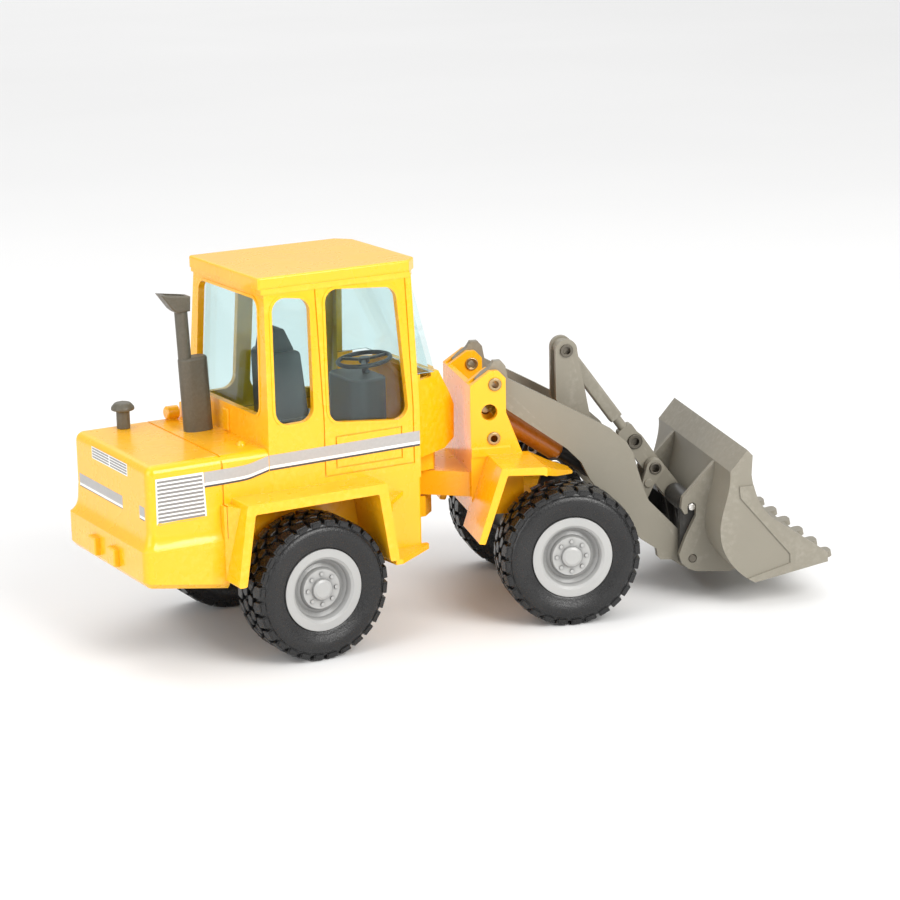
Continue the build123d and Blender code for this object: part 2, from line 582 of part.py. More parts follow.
def upstand():
    plate = side_plate([(33.8, 51.4), (33.8, 41.5), (36.5, 34.5), (38.9, 31.6), (43.0, 31.8), (43.0, 34.3),
                        (41.2, 36.4), (38.4, 51.2)], (1.45, 2.55))
    plate = plate + pin_y(BARREL_PIVOT, 2.3, (1.45, 2.55))
    return plate - pin_y(BARREL_PIVOT, 0.92, (1, 3))


def lift_arm():
    cross = pin_y((41.0, 33.0), 2.2, (-ARM_Y[0] - 0.1, ARM_Y[0] + 0.1))
    return cross + left_and_right(arm_side()) + left_and_right(upstand()) + lever_tube()


def lever_tube():
    """Cross tube with the slots in which the guide levers turn."""
    tube = pin_y(LEVER_PIVOT, 1.4, (-ARM_Y[0] - 0.1, ARM_Y[0] + 0.1))
    return tube - pin_y(LEVER_PIVOT, 2.0, (-3.4, 3.4)) - pin_y(LEVER_PIVOT, 0.72, (-6, 6))


def lever_pivot_pin():
    return pin_y(LEVER_PIVOT, 0.7, (-5.9, 5.9))


def lift_rod_pins():
    pin = pin_y(ROD_PIVOT, 0.7, (4.6, ARM_Y[0] + 0.8))
    return left_and_right(chamfer(pin.edges().group_by(Axis.Y)[0], 0.15))


def tilt_barrel_pin():
    """Rivet through the upstand: slim in the barrel's eye, hollow heads outside."""
    shank = pin_y(BARREL_PIVOT, 0.7, (-1.45, 1.45))
    head = pin_y(BARREL_PIVOT, 0.9, (1.45, 2.55)) + pin_y(BARREL_PIVOT, 1.35, (2.55, 2.95))
    head = head - pin_y(BARREL_PIVOT, 0.75, (1.9, 4))
    return shank + left_and_right(head)


def lift_barrel(side):
    barrel = rod(CYLINDER_PIVOT, ROD_PIVOT, LIFT_BARREL_R, 0, LIFT_BARREL_LENGTH)
    barrel = chamfer(barrel.edges().group_by(Axis.Z)[0], 0.5)
    barrel = barrel + pin_y(CYLINDER_PIVOT, LIFT_BARREL_R, (-LIFT_BARREL_R, LIFT_BARREL_R))
    barrel = barrel - rod(CYLINDER_PIVOT, ROD_PIVOT, LIFT_ROD_R + RUN, 3.2, 30)
    barrel = barrel - pin_y(CYLINDER_PIVOT, 1.1 + RUN, (-5, 5))
    return Pos(0, CYLINDER_Y if side == "left" else -CYLINDER_Y, 0) * barrel


def lift_rod(side):
    span = Vector(ROD_PIVOT[0] - CYLINDER_PIVOT[0], ROD_PIVOT[1] - CYLINDER_PIVOT[1]).length
    shank = rod(CYLINDER_PIVOT, ROD_PIVOT, LIFT_ROD_R, 6.0, span - 1.0)
    eye = pin_y(ROD_PIVOT, 2.0, (-0.9, 2.9)) - pin_y(ROD_PIVOT, 1.35, (-3, 4))
    shank = shank - pin_y(ROD_PIVOT, 1.9, (-3, 4))
    arm = Pos(0, CYLINDER_Y, 0) * (shank + eye)
    return arm if side == "left" else mirror(arm, Plane.XZ)


# ---------------------------------------------------------------- tilt linkage
def tilt_barrel():
    base = along(BARREL_PIVOT, LINK_PIVOT)
    body = extrude(base * RectangleRounded(2.7, 2.8, 0.45), amount=TILT_BARREL_LENGTH)
    body = body + pin_y(BARREL_PIVOT, 1.9, (-1.35, 1.35))
    body = body - rod(BARREL_PIVOT, LINK_PIVOT, TILT_ROD_R + RUN, 4.0, 30)
    return body - pin_y(BARREL_PIVOT, 1.35, (-3, 3))


def tilt_rod():
    shank = rod(BARREL_PIVOT, LINK_PIVOT, TILT_ROD_R, 12.0, 24.6)
    head = Box(2.1, 3.5, 3.6, align=(Align.CENTER, Align.CENTER, Align.MIN))
    head = along(BARREL_PIVOT, LINK_PIVOT).offset(21.6) * head
    head = fillet(head.edges().filter_by(Axis.Y), 0.6)
    plate = across(link_face(ROD_RIVET, LINK_HALF_WIDTH, LINK_PIVOT, LINK_HALF_WIDTH), (-1.05, 1.05))
    bar = shank + head + plate
    for point in (ROD_RIVET, LINK_PIVOT):
        bar = bar - pin_y(point, 1.0 + RUN, (-3, 3))
    return bar


def tilt_rod_rivet():
    tube = pin_y(ROD_RIVET, 1.0, (-1.45, 1.45))
    flange = pin_y(ROD_RIVET, 1.6, (1.05, 1.5))
    flange = chamfer(flange.edges().group_by(Axis.Y)[-1], 0.15)
    return tube + left_and_right(flange) - left_and_right(pin_y(ROD_RIVET, 0.8, (0.35, 3)))


def guide_levers():
    upper = across(link_face(LINK_PIVOT, 1.9, LEVER_BOSS, 1.3), (2.25, 3.15))
    lower = across(link_face(LEVER_BOSS, 1.3, LEVER_PIVOT, 1.3), (2.25, 3.15))
    boss = pin_y(LEVER_BOSS, 0.95, (3.15, 3.5))
    boss = chamfer(boss.edges().group_by(Axis.Y)[-1], 0.15)
    lever = upper + lower + boss - pin_y(LINK_PIVOT, 1.02, (2, 4)) - pin_y(LEVER_PIVOT, 0.7 + RUN, (2, 4))
    return left_and_right(lever)


def link_rivet():
    tube = pin_y(LINK_PIVOT, 1.0, (-3.15, 3.15))
    flange = pin_y(LINK_PIVOT, 1.3, (3.15, 3.5))
    flange = chamfer(flange.edges().group_by(Axis.Y)[-1], 0.12)
    return tube + left_and_right(flange) - left_and_right(pin_y(LINK_PIVOT, 0.8, (1.6, 5)))


def tilt_link():
    """Two cheeks outside the rod end, joined by a web past it."""
    face = link_face(LINK_PIVOT, LINK_HALF_WIDTH, HOOK_PIN, LINK_HALF_WIDTH)
    link = across(face, (-2.1, 2.1)) - pin_y(LINK_PIVOT, 2.6, (-1.2, 1.2))
    link = link - pin_y(LINK_PIVOT, 1.0 + RUN, (-3, 3)) - pin_y(HOOK_PIN, 1.25, (-3, 3))
    return link


# ---------------------------------------------------------------- quick hitch and bucket
def quick_hitch():
    cheek = across(link_face(HOOK_PIN, 2.1, HITCH_PIVOT, 2.3), HITCH_CHEEK)
    tube = pin_y(HOOK_PIN, 2.2, (2.6, HITCH_CHEEK[0] + 0.1))
    rib = side_plate([(58.6, 18.5), (60.6, 7.4), (61.6, 7.2), (61.4, 18.5)], (2.6, 4.0))
    half = left_and_right(cheek + tube + rib)
    half = half + block((60.6, 61.6), (-8.4, 8.4), (7.2, 16.6)) + block((60.6, 61.6), (-11.4, 11.4), (14.0, 16.6))
    return half - pin_y(HOOK_PIN, 0.77, (-15, 15)) - pin_y(HITCH_PIVOT, 0.92, (-15, 15))


def hook_pins():
    pin = pin_y(HOOK_PIN, 0.75, (-EAR_Y[1] - 0.2, EAR_Y[1] + 0.2))
    return fillet(pin.edges().filter_by(GeomType.CIRCLE), 0.2)


def hitch_pivot_pins():
    pin = pin_y(HITCH_PIVOT, 0.9, (8.6, EAR_Y[1] + 0.15))
    return left_and_right(fillet(pin.edges().group_by(Axis.Y)[-1], 0.3))


def bucket_outline():
    """Side view of the bucket: back, heel, floor and the hollowed front edge."""
    back = Spline((64.0, 29.0), (63.2, 23.0), (62.0, 17.0), (62.5, 13.4), (65.2, 8.7), (69.3, 5.5))
    front = Spline((73.0, 18.8), (70.45, 21.8), (68.9, 25.9), (68.5, 28.1))
    edges = [Line((67.6, 33.3), (64.0, 29.0)), back, Line((69.3, 5.5), (84.9, 8.65)),
             Line((84.9, 8.65), (84.8, 10.6)), Line((84.8, 10.6), (73.0, 18.8)), front,
             Line((68.5, 28.1), (68.7, 32.1)), Line((68.7, 32.1), (67.6, 33.3))]
    return make_face(edges)


def bucket_hollow():
    back = Spline((65.1, 28.5), (64.35, 23.0), (63.2, 17.2), (63.6, 14.1), (66.1, 9.5), (69.5, 6.7))
    edges = [Line((68.7, 32.7), (65.1, 28.5)), back, Line((69.5, 6.7), (92.0, 11.25)),
             Line((92.0, 11.25), (92.0, 32.7)), Line((92.0, 32.7), (68.7, 32.7))]
    return make_face(edges)


def bucket_teeth():
    length, thickness = 4.4, 1.2
    tooth = RectangleRounded(length, 3.6, 1.1)
    teeth = []
    for index in range(6):
        y = (index - 2.5) * TOOTH_PITCH
        teeth.append(Pos(82.5, y, 8.15) * Rot(0, -11.4, 0) * Pos(length / 2, 0, 0) * extrude(tooth, amount=thickness))
    return teeth


def bucket_ear():
    ear = side_plate([(64.2, 29.0), (57.2, 21.6), (56.9, 19.4), (57.7, 18.0), (58.3, 18.2), (58.3, 19.5),
                      (60.1, 19.5), (60.1, 17.6), (57.9, 13.2), (56.5, 9.6), (57.1, 7.6), (58.4, 6.4),
                      (60.2, 5.7), (67.3, 5.1), (69.4, 5.6), (66.2, 9.4), (63.6, 13.9), (63.1, 17.0),
                      (64.3, 23.0)], EAR_Y)
    return ear - pin_y(HOOK_PIN, 0.9, (10, 16)) - pin_y(HITCH_PIVOT, 0.92, (10, 16))


def wear_edge():
    """Raised border along the front and bottom of the side plates."""
    field = outline([(60.0, 40.0), (72.0, 40.0), (72.0, 25.9), (65.9, 25.9), (66.1, 23.5), (76.8, 10.9),
                     (76.8, 9.0), (67.7, 6.4), (60.0, 6.4)])
    return across(bucket_outline() - field, (BUCKET_HALF - 0.1, BUCKET_HALF + 0.3))


def bucket():
    shell = across(bucket_outline(), (-BUCKET_HALF, BUCKET_HALF))
    inner_half = BUCKET_HALF - BUCKET_WALL
    shell = shell - across(bucket_hollow(), (-inner_half, inner_half))
    return shell + left_and_right(bucket_ear()) + left_and_right(wear_edge()) + bucket_teeth()


# ---------------------------------------------------------------- assembly
REAR_NODES = {
    "rear_body": rear_body(),
    "rear_base_plate": rear_base_plate(),
    "rear_screws": rear_screws(),
    "articulation_pin": articulation_pin(),
    "axle_rock_pin": axle_rock_pin(),
    "cab_shell": cab_shell(),
    "cab_windows": cab_windows(),
    "cab_floor": cab_floor(),
    "driver_seat": driver_seat(),
    "dash_console": dash_console(),
    "steering_wheel": steering_wheel(),
    "exhaust_stack": exhaust_stack(),
    "air_precleaner": air_precleaner(),
    "rear_axle_housing": rear_axle_housing(),
    "rear_axle_shaft": axle_shaft(REAR_AXLE_X),
}
FRONT_NODES = {
    "front_frame": front_frame(),
    "front_axle_bracket": front_axle_bracket(),
    "front_screws": front_screws(),
    "bracket_eyelets": bracket_eyelets(),
    "arm_pivot_rivets": arm_pivot_rivets(),
    "tower_rivets": tower_rivets(),
    "lift_cylinder_pin": lift_cylinder_pin(),
    "front_axle_shaft": axle_shaft(FRONT_AXLE_X),
    "lift_arm": lift_arm(),
    "lift_rod_pins": lift_rod_pins(),
    "tilt_barrel_pin": tilt_barrel_pin(),
    "lever_pivot_pin": lever_pivot_pin(),
    "tilt_barrel": tilt_barrel(),
    "tilt_rod": tilt_rod(),
    "tilt_rod_rivet": tilt_rod_rivet(),
    "guide_levers": guide_levers(),
    "link_rivet": link_rivet(),
    "tilt_link": tilt_link(),
    "quick_hitch": quick_hitch(),
    "hook_pins": hook_pins(),
    "hitch_pivot_pins": hitch_pivot_pins(),
    "bucket": bucket(),
}
RIM, TYRE = rim(), tyre()
for side in ("left", "right"):
    REAR_NODES["rear_rim_" + side] = wheel(RIM, REAR_AXLE_X, side)
    REAR_NODES["rear_tyre_" + side] = wheel(TYRE, REAR_AXLE_X, side)
    FRONT_NODES["front_rim_" + side] = wheel(RIM, FRONT_AXLE_X, side)
    FRONT_NODES["front_tyre_" + side] = wheel(TYRE, FRONT_AXLE_X, side)
    FRONT_NODES["lift_barrel_" + side] = lift_barrel(side)
    FRONT_NODES["lift_rod_" + side] = lift_rod(side)

nodes = dict(REAR_NODES)
for name, shape in FRONT_NODES.items():
    nodes[name] = Rot(0, 0, STEER_ANGLE) * shape

low = Vector(*[min(getattr(shape.bounding_box().min, axis) for shape in nodes.values()) for axis in "XYZ"])
high = Vector(*[max(getattr(shape.bounding_box().max, axis) for shape in nodes.values()) for axis in "XYZ"])
ORIGIN = Vector((low.X + high.X) / 2, (low.Y + high.Y) / 2, low.Z)

os.makedirs("parts", exist_ok=True)
for name, shape in nodes.items():
    export_step(Pos(*(-ORIGIN)) * shape, "parts/" + name + ".step")
print("origin in the working frame:", ORIGIN, "size:", high - low)
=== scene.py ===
import json
import math

import bmesh
import bpy
from mathutils import Matrix, Vector

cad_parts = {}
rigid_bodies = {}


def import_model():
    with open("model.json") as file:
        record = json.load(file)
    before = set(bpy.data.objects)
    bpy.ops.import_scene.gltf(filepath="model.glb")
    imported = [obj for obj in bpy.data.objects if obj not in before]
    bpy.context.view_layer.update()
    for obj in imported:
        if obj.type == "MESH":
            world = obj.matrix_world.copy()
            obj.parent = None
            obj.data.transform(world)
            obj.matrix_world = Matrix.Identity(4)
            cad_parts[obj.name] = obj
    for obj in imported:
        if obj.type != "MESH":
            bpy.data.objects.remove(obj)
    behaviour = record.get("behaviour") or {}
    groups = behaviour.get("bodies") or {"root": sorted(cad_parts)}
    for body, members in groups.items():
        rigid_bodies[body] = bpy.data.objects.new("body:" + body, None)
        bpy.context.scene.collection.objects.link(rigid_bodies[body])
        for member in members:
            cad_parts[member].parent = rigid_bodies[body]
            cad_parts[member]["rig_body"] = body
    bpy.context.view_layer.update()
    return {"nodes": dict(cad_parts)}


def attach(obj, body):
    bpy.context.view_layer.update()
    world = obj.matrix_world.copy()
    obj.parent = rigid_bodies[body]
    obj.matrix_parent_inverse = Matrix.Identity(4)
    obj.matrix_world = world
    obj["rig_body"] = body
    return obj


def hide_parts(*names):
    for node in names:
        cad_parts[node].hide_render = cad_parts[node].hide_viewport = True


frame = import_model()

MM = 0.001
NODES = frame["nodes"]

# ---------------------------------------------------------------- places taken from the CAD frame
ORIGIN = Vector((12.1336, -11.3259, 0.0))      # the row's origin in the drawing's frame, mm
STEER = math.radians(-17.0)                    # the front frame's rest angle
AXLE_Z = 14.2
REAR_AXLE_X, FRONT_AXLE_X = -29.47, 30.91
TYRE_R, TYRE_IN, TYRE_OUT = 14.2, 15.2, 25.6
TYRE_MIDDLE = (TYRE_IN + TYRE_OUT) / 2
BODY_SIDE = 18.0                               # half the width of the hood and cab walls
HOOD_REAR = -62.2
RIVET_INNER_Y = 7.6                            # inner end of the tower's rivets, from the middle
ARM_PIVOT, LOWER_RIVET = (18.6, 47.7), (18.2, 36.6)


def rear(x, y, z):
    """A point of the rear frame, from the drawing's millimetres to the row frame."""
    return Vector((x - ORIGIN.x, y - ORIGIN.y, z)) * MM


def front(x, y, z):
    """A point of the steered front frame, in the row frame."""
    c, s = math.cos(STEER), math.sin(STEER)
    return rear(x * c - y * s, x * s + y * c, z)


# ---------------------------------------------------------------- node helpers
class Look:
    """A material and short calls to add and join its nodes."""

    def __init__(self, name):
        self.material = bpy.data.materials.new(name)
        self.material.use_nodes = True
        self.tree = self.material.node_tree
        self.shader = self.tree.nodes["Principled BSDF"]
        self.coords = self.tree.nodes.new("ShaderNodeTexCoord").outputs["Object"]

    def node(self, kind, inputs=None, **settings):
        made = self.tree.nodes.new(kind)
        for key, value in settings.items():
            setattr(made, key, value)
        for key, value in (inputs or {}).items():
            if isinstance(value, bpy.types.NodeSocket):
                self.tree.links.new(value, made.inputs[key])
            else:
                made.inputs[key].default_value = value
        return made

    def link(self, output, socket):
        self.tree.links.new(output, socket)

    def noise(self, scale, detail=3.0, rough=0.55):
        made = self.node("ShaderNodeTexNoise", {"Vector": self.coords, "Scale": scale, "Detail": detail,
                                                "Roughness": rough})
        return made.outputs["Fac"]

    def speckle(self, scale, low, high):
        """Small spots: 1 inside a spot, 0 outside."""
        cells = self.node("ShaderNodeTexVoronoi", {"Vector": self.coords, "Scale": scale}, feature="F1")
        return self.span(cells.outputs["Distance"], low, high, 1.0, 0.0)

    def span(self, value, low, high, out_low, out_high):
        made = self.node("ShaderNodeMapRange", {"Value": value, "From Min": low, "From Max": high,
                                                "To Min": out_low, "To Max": out_high})
        return made.outputs["Result"]

    def mix(self, factor, a, b, mode="MIX"):
        made = self.node("ShaderNodeMix", {"Factor": factor}, data_type="RGBA", blend_type=mode)
        for index, value in ((6, a), (7, b)):
            if isinstance(value, bpy.types.NodeSocket):
                self.link(value, made.inputs[index])
            else:
                made.inputs[index].default_value = (*value, 1.0)
        return made.outputs[2]

    def math(self, operation, a, b=0.0):
        made = self.node("ShaderNodeMath", {0: a, 1: b}, operation=operation)
        return made.outputs["Value"]

    def bump(self, height, distance, strength=1.0):
        made = self.node("ShaderNodeBump", {"Height": height, "Distance": distance, "Strength": strength})
        self.link(made.outputs["Normal"], self.shader.inputs["Normal"])
        return made

    def set(self, **values):
        for key, value in values.items():
            name = key.replace("_", " ")
            if isinstance(value, bpy.types.NodeSocket):
                self.link(value, self.shader.inputs[name])
            else:
                self.shader.inputs[name].default_value = value


def worn_edges(look, low=0.53, high=0.66):
    """1 on sharp outer edges, broken up by noise, 0 elsewhere."""
    pointy = look.node("ShaderNodeNewGeometry").outputs["Pointiness"]
    edge = look.span(pointy, low, high, 0.0, 1.0)
    broken = look.span(look.noise(900.0, 4.0), 0.45, 0.7, 0.0, 1.0)
    return look.math("MULTIPLY", edge, broken)


def paler(colour, gain, lift):
    """The colour scaled and raised, kept within 1."""
    return tuple(min(1.0, c * gain + lift) for c in colour)


def enamel(name, colour, shade, roughness, coat, peel, hollow_shade=0.0):
    """Sprayed toy enamel: tone drift, orange peel, dust, paler worn edges and, if asked, painted shade that
    darkens the hollows.
    """
    look = Look(name)
    drift = look.span(look.noise(38.0, 4.0), 0.3, 0.7, 0.0, 1.0)
    base = look.mix(drift, shade, colour)
    dusty = look.span(look.noise(60.0), 0.5, 0.7, 0.0, 0.5)
    dust = look.math("MULTIPLY", look.speckle(700.0, 0.02, 0.07), dusty)
    base = look.mix(dust, base, paler(colour, 1.25, 0.05))
    wear = look.math("MULTIPLY", worn_edges(look), 0.35)
    base = look.mix(wear, base, paler(colour, 1.15, 0.08))
    if hollow_shade:
        # painted shade: ambient occlusion darkens the colour in grooves and crevices, where shade falls
        painted_shade_ao = look.node("ShaderNodeAmbientOcclusion", {"Distance": 0.0018}, samples=8).outputs["AO"]
        base = look.mix(look.span(painted_shade_ao, 0.45, 1.0, hollow_shade, 0.0), base, tuple(c * 0.22 for c in shade))
    rough = look.span(look.noise(120.0, 5.0), 0.3, 0.7, roughness - 0.03, roughness + 0.04)
    look.set(Base_Color=base, Roughness=rough, Coat_Weight=coat, Coat_Roughness=0.08, IOR=1.48)
    height = look.math("ADD", look.noise(420.0, 2.0), look.math("MULTIPLY", look.noise(2600.0, 2.0), 0.25))
    look.bump(height, peel)
    return look.material


def grained(name, colour, shade, roughness, grain_scale, grain_depth):
    """Moulded or sanded surface: fine even grain with a soft tone drift."""
    look = Look(name)
    drift = look.span(look.noise(55.0, 5.0), 0.3, 0.7, 0.0, 1.0)
    fine = look.noise(grain_scale, 3.0, 0.65)
    base = look.mix(drift, shade, colour)
    base = look.mix(look.span(fine, 0.35, 0.7, 0.0, 0.35), base, paler(colour, 1.5, 0.012))
    wear = look.math("MULTIPLY", worn_edges(look), 0.4)
    base = look.mix(wear, base, paler(colour, 1.6, 0.05))
    rough = look.span(fine, 0.3, 0.7, roughness - 0.09, roughness + 0.09)
    look.set(Base_Color=base, Roughness=rough, Specular_IOR_Level=0.4)
    look.bump(fine, grain_depth)
    return look.material


def metal(name, colour, roughness):
    """Bare metal with fine turning lines and dull patches."""
    look = Look(name)
    stretched = look.node("ShaderNodeMapping", {"Vector": look.coords, "Scale": (1.0, 14.0, 1.0)})
    lines = look.node("ShaderNodeTexNoise", {"Vector": stretched.outputs["Vector"], "Scale": 1500.0,
                                             "Detail": 3.0}).outputs["Fac"]
    dull = look.span(look.noise(150.0, 4.0), 0.35, 0.7, 0.0, 1.0)
    base = look.mix(dull, colour, tuple(c * 0.72 for c in colour))
    rough = look.math("ADD", look.span(lines, 0.3, 0.7, roughness - 0.06, roughness + 0.08),
                      look.math("MULTIPLY", dull, 0.1))
    look.set(Base_Color=base, Roughness=rough, Metallic=1.0)
    look.bump(lines, 0.000004)
    return look.material


def tinted_glass(name):
    """Clear blue-green moulding with faint flow marks."""
    look = Look(name)
    flow = look.span(look.noise(70.0, 2.0), 0.3, 0.7, 0.0, 1.0)
    base = look.mix(flow, (0.77, 0.90, 0.90), (0.80, 0.92, 0.92))
    rough = look.span(look.noise(260.0, 3.0), 0.3, 0.7, 0.01, 0.05)
    look.set(Base_Color=base, Roughness=rough, Transmission_Weight=1.0, IOR=1.03,
             Coat_Weight=0.6, Coat_Roughness=0.03)
    look.bump(look.noise(110.0, 1.0), 0.000006)
    return look.material


def ink(name, colour):
    """Printed ink: flat tone with slight screen mottling."""
    look = Look(name)
    mottle = look.span(look.noise(1500.0, 3.0), 0.3, 0.7, 0.0, 1.0)
    base = look.mix(mottle, tuple(c * 0.9 for c in colour), colour)
    look.set(Base_Color=base, Roughness=look.span(look.noise(300.0), 0.3, 0.7, 0.30, 0.43))
    look.bump(look.noise(2400.0, 2.0), 0.000004)
    return look.material


def rubber(name):
    """Vinyl tyre: near-black satin, a sand-cast grain whose bump gives sparkle and whose lighter flecks are
    painted sparkle, and dusty low spots.
    """
    look = Look(name)
    grain = look.noise(2600.0, 4.0, 0.7)
    patches = look.span(look.noise(90.0, 4.0), 0.35, 0.7, 0.0, 1.0)
    base = look.mix(patches, (0.004, 0.004, 0.0045), (0.011, 0.011, 0.0115))
    # painted sparkle: the grain's high values lift the colour to lighter flecks
    base = look.mix(look.span(grain, 0.55, 0.75, 0.0, 0.5), base, (0.03, 0.03, 0.032))
    look.set(Base_Color=base, Roughness=look.span(grain, 0.3, 0.7, 0.2, 0.42), Specular_IOR_Level=0.5)
    look.bump(look.math("ADD", grain, look.math("MULTIPLY", look.noise(900.0), 0.4)), 0.00006)
    return look.material


YELLOW = enamel("yellow_enamel", (0.97, 0.475, 0.004), (0.95, 0.455, 0.0035), 0.27, 0.3, 0.000003)
AMBER = enamel("amber_enamel", (0.47, 0.14, 0.004), (0.42, 0.12, 0.003), 0.28, 0.3, 0.000006)
ARM_GREY = enamel("arm_grey_enamel", (0.245, 0.225, 0.178), (0.225, 0.206, 0.163), 0.47, 0.0, 0.000016)
BUCKET_GREY = enamel("bucket_grey_enamel", (0.235, 0.216, 0.172), (0.215, 0.197, 0.157), 0.5, 0.0, 0.00002)
STACK_GREY = grained("stack_plastic", (0.095, 0.087, 0.066), (0.082, 0.074, 0.056), 0.42, 1700.0, 0.000012)
HITCH_BLACK = grained("hitch_black", (0.030, 0.028, 0.025), (0.022, 0.021, 0.019), 0.4, 1400.0, 0.000012)
CHASSIS_BLACK = grained("chassis_black", (0.020, 0.020, 0.020), (0.014, 0.014, 0.014), 0.5, 1500.0, 0.000015)
SEAT_GREY = grained("cab_plastic", (0.060, 0.068, 0.072), (0.050, 0.058, 0.062), 0.42, 1600.0, 0.000012)
WHEEL_BLACK = grained("steering_plastic", (0.030, 0.034, 0.037), (0.024, 0.028, 0.030), 0.35, 1800.0, 0.00001)
# the rims' last figure paints shade into their grooves
RIM_SILVER = enamel("rim_silver", (0.40, 0.40, 0.39), (0.35, 0.35, 0.345), 0.34, 0.15, 0.000008, 0.9)
RUBBER = rubber("tyre_vinyl")
STEEL = metal("bright_steel", (0.72, 0.71, 0.69), 0.24)
PIN_WHITE = metal("pin_steel", (0.90, 0.88, 0.84), 0.2)
BRASS = metal("brassed_rivet", (0.52, 0.38, 0.20), 0.3)
DARK_RIVET = metal("dark_rivet", (0.16, 0.145, 0.12), 0.36)
GLASS = tinted_glass("tinted_glazing")
INK_WHITE = ink("ink_white", (0.88, 0.88, 0.86))
INK_GREY = ink("ink_grey", (0.42, 0.41, 0.40))
INK_SLOT = ink("ink_slot", (0.24, 0.23, 0.22))
INK_DARK = ink("ink_dark", (0.06, 0.055, 0.05))

# ---------------------------------------------------------------- mesh helpers


def new_object(name, mesh, material, body):
    obj = bpy.data.objects.new(name, mesh)
    bpy.context.scene.collection.objects.link(obj)
    mesh.materials.clear()
    mesh.materials.append(material)
    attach(obj, body)
    return obj


def softened(node, material, width, segments=2, angle=32.0):
    """A copy of a CAD node with flat faces merged and edges rounded, which replaces the node."""
    source = NODES[node]
    mesh = source.data.copy()
    bm = bmesh.new()
    bm.from_mesh(mesh)
    bmesh.ops.remove_doubles(bm, verts=bm.verts, dist=0.000002)
    bmesh.ops.dissolve_degenerate(bm, edges=bm.edges, dist=0.000002)
    bmesh.ops.dissolve_limit(bm, angle_limit=math.radians(0.6), verts=bm.verts, edges=bm.edges,
                             delimit={"NORMAL"})
    bmesh.ops.recalc_face_normals(bm, faces=bm.faces)
    bm.to_mesh(mesh)
    bm.free()
    if "custom_normal" in mesh.attributes:
        mesh.attributes.remove(mesh.attributes["custom_normal"])
    obj = new_object(node + "_skin", mesh, material, source["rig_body"])
    bevel = obj.modifiers.new("edges", "BEVEL")
    bevel.width = width * MM
    bevel.segments = segments
    bevel.limit_method = "ANGLE"
    bevel.angle_limit = math.radians(angle)
    bevel.use_clamp_overlap = True
    bevel.miter_outer = "MITER_ARC"
    bevel.harden_normals = True
    shade(mesh, angle)
    normals = obj.modifiers.new("normals", "WEIGHTED_NORMAL")
    normals.keep_sharp = True
    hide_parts(node)
    return obj


def shade(mesh, angle=32.0):
    """Smooth faces, with edges sharper than the angle kept sharp."""
    for polygon in mesh.polygons:
        polygon.use_smooth = True
    bm = bmesh.new()
    bm.from_mesh(mesh)
    limit = math.radians(angle)
    for edge in bm.edges:
        edge.smooth = len(edge.link_faces) == 2 and edge.calc_face_angle(0.0) < limit
    bm.to_mesh(mesh)
    bm.free()


def mesh_from(bm, name):
    mesh = bpy.data.meshes.new(name)
    bmesh.ops.recalc_face_normals(bm, faces=bm.faces)
    bm.to_mesh(mesh)
    bm.free()
    return mesh


# ---------------------------------------------------------------- castings and mouldings
YELLOW_NODES = {"rear_body": 0.28, "cab_shell": 0.22, "front_frame": 0.24}
for node, width in YELLOW_NODES.items():
    softened(node, YELLOW, width, 3)
for side in ("left", "right"):
    softened("lift_barrel_" + side, AMBER, 0.2, 3)
    softened("lift_rod_" + side, CHASSIS_BLACK, 0.08)
    for axle in ("front", "rear"):
        softened(axle + "_rim_" + side, RIM_SILVER, 0.1, 2, 25.0)
for node in ("lift_arm", "tilt_barrel", "tilt_rod", "guide_levers", "tilt_link"):
    softened(node, ARM_GREY, 0.14)
softened("bucket", BUCKET_GREY, 0.16)
softened("quick_hitch", HITCH_BLACK, 0.14)
for node in ("front_axle_bracket", "rear_base_plate", "rear_axle_housing"):
    softened(node, CHASSIS_BLACK, 0.14)
for node in ("driver_seat", "dash_console", "cab_floor"):
    softened(node, SEAT_GREY, 0.35, 3)
softened("steering_wheel", WHEEL_BLACK, 0.12)
for node in ("exhaust_stack", "air_precleaner"):
    softened(node, STACK_GREY, 0.2, 3)
softened("cab_windows", GLASS, 0.08)
for node in ("rear_axle_shaft", "front_axle_shaft", "axle_rock_pin", "rear_screws", "front_screws",
             "articulation_pin", "lift_rod_pins", "lever_pivot_pin",
             "bracket_eyelets"):
    softened(node, STEEL, 0.08)
softened("hook_pins", PIN_WHITE, 0.12)
for node in ("arm_pivot_rivets", "tower_rivets", "lift_cylinder_pin"):
    softened(node, BRASS, 0.08)
for node in ("tilt_barrel_pin", "tilt_rod_rivet", "link_rivet", "hitch_pivot_pins"):
    softened(node, DARK_RIVET, 0.08)

# ---------------------------------------------------------------- rolled rings of the pivot rivets
RING_R, RING_TUBE = 1.12, 0.22
RING_STEPS, TUBE_STEPS = 40, 12


def rolled_ring(name, centre):
    """A rolled rivet rim: a ring round an axis along y of the steered frame."""
    bm = bmesh.new()
    rows = []
    for k in range(RING_STEPS):
        around = 2 * math.pi * k / RING_STEPS
        row = []
        for j in range(TUBE_STEPS):
            across = 2 * math.pi * j / TUBE_STEPS
            radius = RING_R + RING_TUBE * math.cos(across)
            row.append(bm.verts.new((radius * math.cos(around), RING_TUBE * math.sin(across),
                                     radius * math.sin(around))))
        rows.append(row)
    for k in range(RING_STEPS):
        this, following = rows[k], rows[(k + 1) % RING_STEPS]
        for i in range(TUBE_STEPS):
            j = (i + 1) % TUBE_STEPS
            bm.faces.new((this[i], following[i], following[j], this[j]))
    mesh = mesh_from(bm, name)
    mesh.transform(Matrix.Translation(centre) @ Matrix.Rotation(STEER, 4, "Z") @ Matrix.Scale(MM, 4))
    shade(mesh, 60.0)
    return new_object(name, mesh, BRASS, "front_frame")


for label, sign in (("left", 1), ("right", -1)):
    for spot, (x, z) in (("upper", ARM_PIVOT), ("lower", LOWER_RIVET)):
        rolled_ring(f"{spot}_rivet_ring_{label}", front(x, sign * RIVET_INNER_Y, z))

